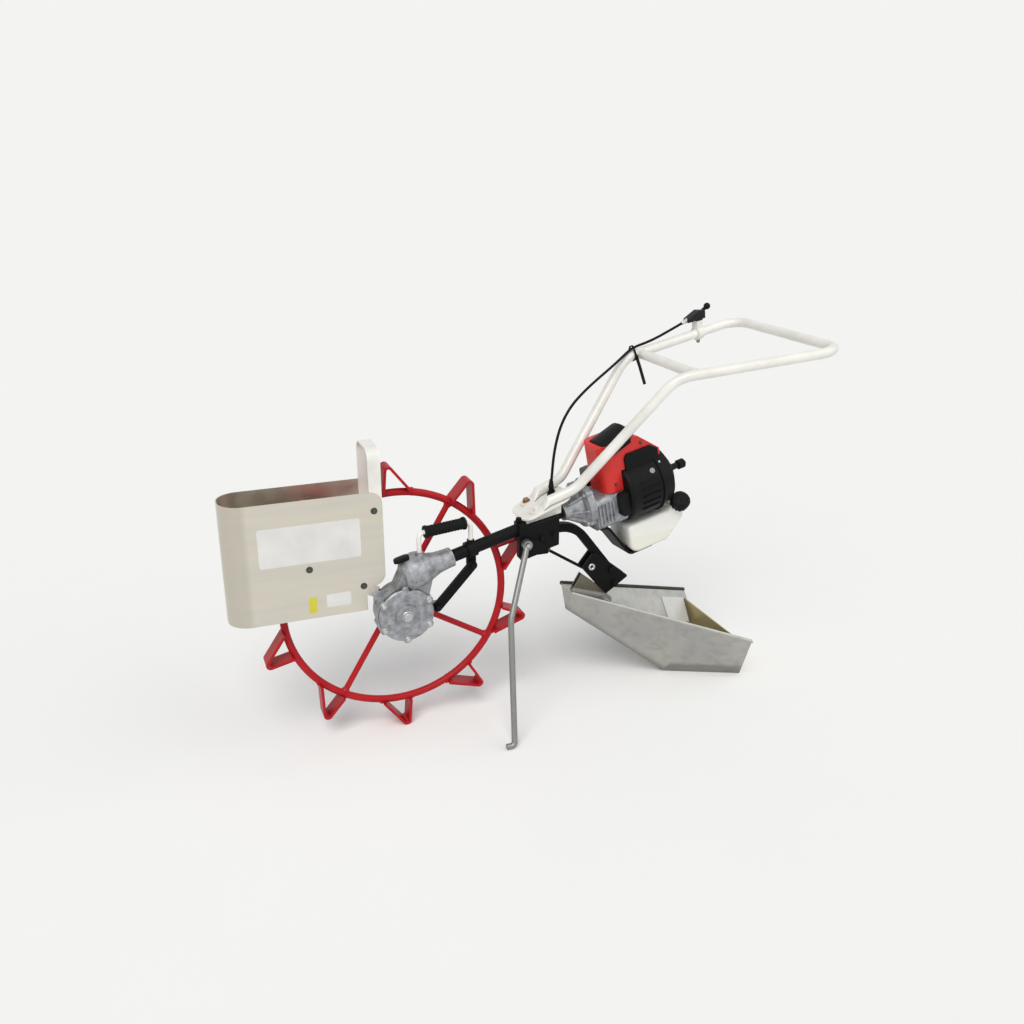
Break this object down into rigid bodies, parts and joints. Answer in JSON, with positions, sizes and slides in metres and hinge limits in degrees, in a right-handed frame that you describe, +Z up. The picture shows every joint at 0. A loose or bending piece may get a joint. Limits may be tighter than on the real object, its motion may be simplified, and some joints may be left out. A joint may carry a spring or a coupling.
{
  "type": "paddy ditcher",
  "caption": "Walk-behind paddy ditcher with a lugged drive wheel under a sheet guard, engine on a drive tube, loop handle, folding side stand and a boat-shaped ditching plough.",
  "frame": {"origin": "on the floor, under the middle of the machine's outline from above", "axes": "+X to the rear, where the handle is, +Y to the machine's right, +Z up"},
  "size_m": [1.2842, 0.4104, 0.8645],
  "materials": {
    "red_paint": "dark red gloss paint",
    "zinc": "zinc plated steel",
    "cast_aluminium": "bare sand cast",
    "black_paint": "satin black paint",
    "white_paint": "cream white gloss paint",
    "rubber": "black rubber",
    "stainless": "satin stainless sheet",
    "transom_plate": "stainless plate with a warm tint",
    "black_plastic": "moulded black",
    "orange_plastic": "orange red moulding",
    "dark_steel": "heat darkened steel",
    "tank_plastic": "milky white polyethylene"
  },
  "bodies": {
    "frame": {"gear_case": "cast_aluminium", "gear_cover": "cast_aluminium", "case_cap": "black_plastic", "drive_tube": "black_paint", "tube_clamp": "black_paint", "brace_strut": "black_paint", "carry_bar": "white_paint", "carry_grip": "rubber", "guard": "stainless", "guard_stay": "stainless", "guard_bridge": "white_paint", "frame_bracket": "black_paint", "plough_arm": "black_paint", "plough_holder": "black_paint", "adjuster_rod": "black_paint", "plough_hull": "stainless", "plough_transom": "transom_plate", "handle_loop": "white_paint", "handle_plate": "white_paint", "clutch_housing": "cast_aluminium", "crankcase": "cast_aluminium", "fan_housing": "black_plastic", "starter_cover": "black_plastic", "recoil_handle": "black_plastic", "engine_shroud": "orange_plastic", "top_cover": "black_plastic", "muffler": "dark_steel", "air_cleaner": "black_plastic", "fuel_tank": "tank_plastic", "fuel_cap": "black_plastic", "tank_guard": "black_paint", "throttle_clamp": "black_plastic", "throttle_lever": "black_plastic", "cable_boot": "rubber", "throttle_cable": "rubber", "cable_strap": "black_plastic"},
    "wheel": {"wheel": "red_paint", "wheel_axle": "zinc"},
    "stand": {"side_stand": "zinc"}
  },
  "joints": [
    {"name": "wheel_spin", "type": "hinge", "parent": "frame", "child": "wheel", "pos_m": [-0.29308, 0.018, 0.30186], "axis": [0, 1, 0], "continuous": true},
    {"name": "stand_swing", "type": "hinge", "parent": "frame", "child": "stand", "pos_m": [-0.02112, -0.056, 0.41386], "axis": [0, -1, 0], "range_deg": [0, 95]}
  ]
}
